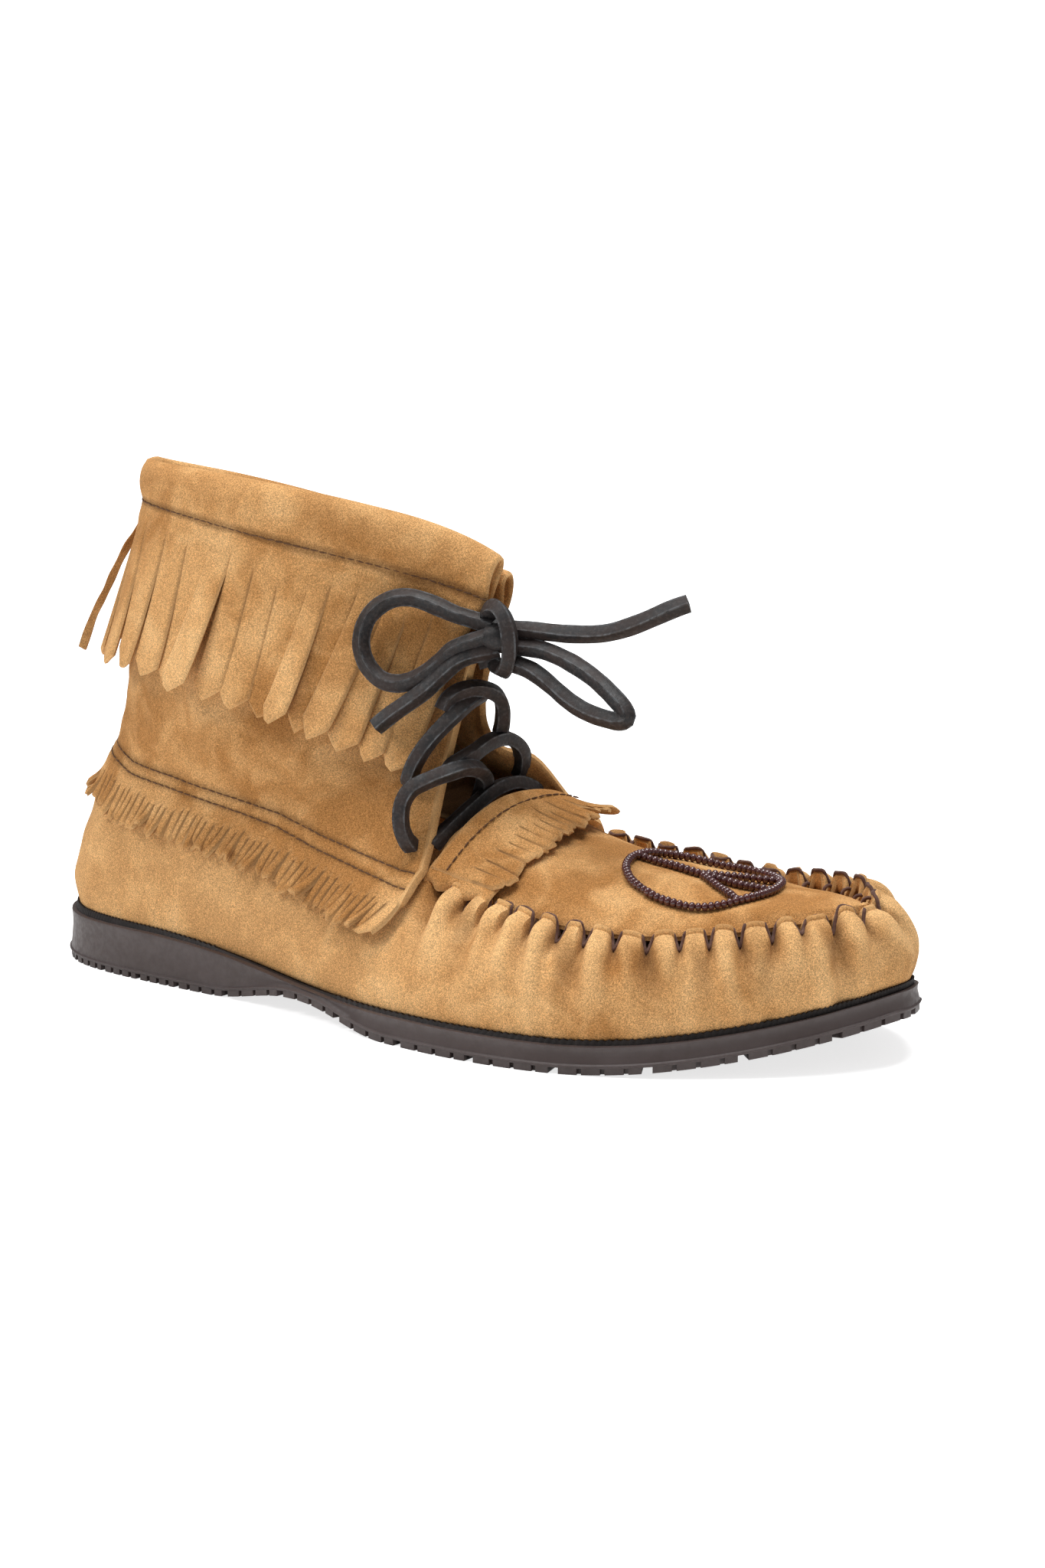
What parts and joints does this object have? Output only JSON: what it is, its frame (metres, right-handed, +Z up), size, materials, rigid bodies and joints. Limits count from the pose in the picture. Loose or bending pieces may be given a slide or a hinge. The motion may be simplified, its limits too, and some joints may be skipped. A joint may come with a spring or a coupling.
{
  "type": "fringed moccasin ankle boot",
  "caption": "Soft suede moccasin boot for the right foot, with fringed flap and hem, rolled collar, tied thong lace and moulded rubber sole.",
  "frame": {"origin": "on the floor, under the middle of the boot's box without its bow", "axes": "+X to the toe, +Y to the wearer's left, the medial side of this right boot, +Z up"},
  "size_m": [0.2948, 0.1076, 0.161],
  "materials": {
    "outsole_rubber": "matte dark brown moulded rubber",
    "inner_leather": "smooth undyed inside leather",
    "upper_suede": "tan brushed suede",
    "collar_suede": "tan brushed suede, rolled",
    "fringe_suede": "tan brushed suede, cut in strips",
    "kiltie_suede": "tan brushed suede, cut in strips",
    "thong_leather": "dark brown waxed square thong"
  },
  "bodies": {
    "root": {"outsole": "outsole_rubber", "insole": "inner_leather", "upper": "upper_suede", "tongue": "inner_leather", "collar_roll": "collar_suede", "long_fringe": "fringe_suede", "ankle_fringe": "fringe_suede", "kiltie": "kiltie_suede", "lace_crossing": "thong_leather", "lace_bar_upper": "thong_leather", "lace_bar_top": "thong_leather", "lace_knot": "thong_leather", "lace_loop_lateral": "thong_leather", "lace_end_lateral": "thong_leather", "lace_end_front": "thong_leather", "lace_loop_front": "thong_leather"}
  },
  "joints": []
}
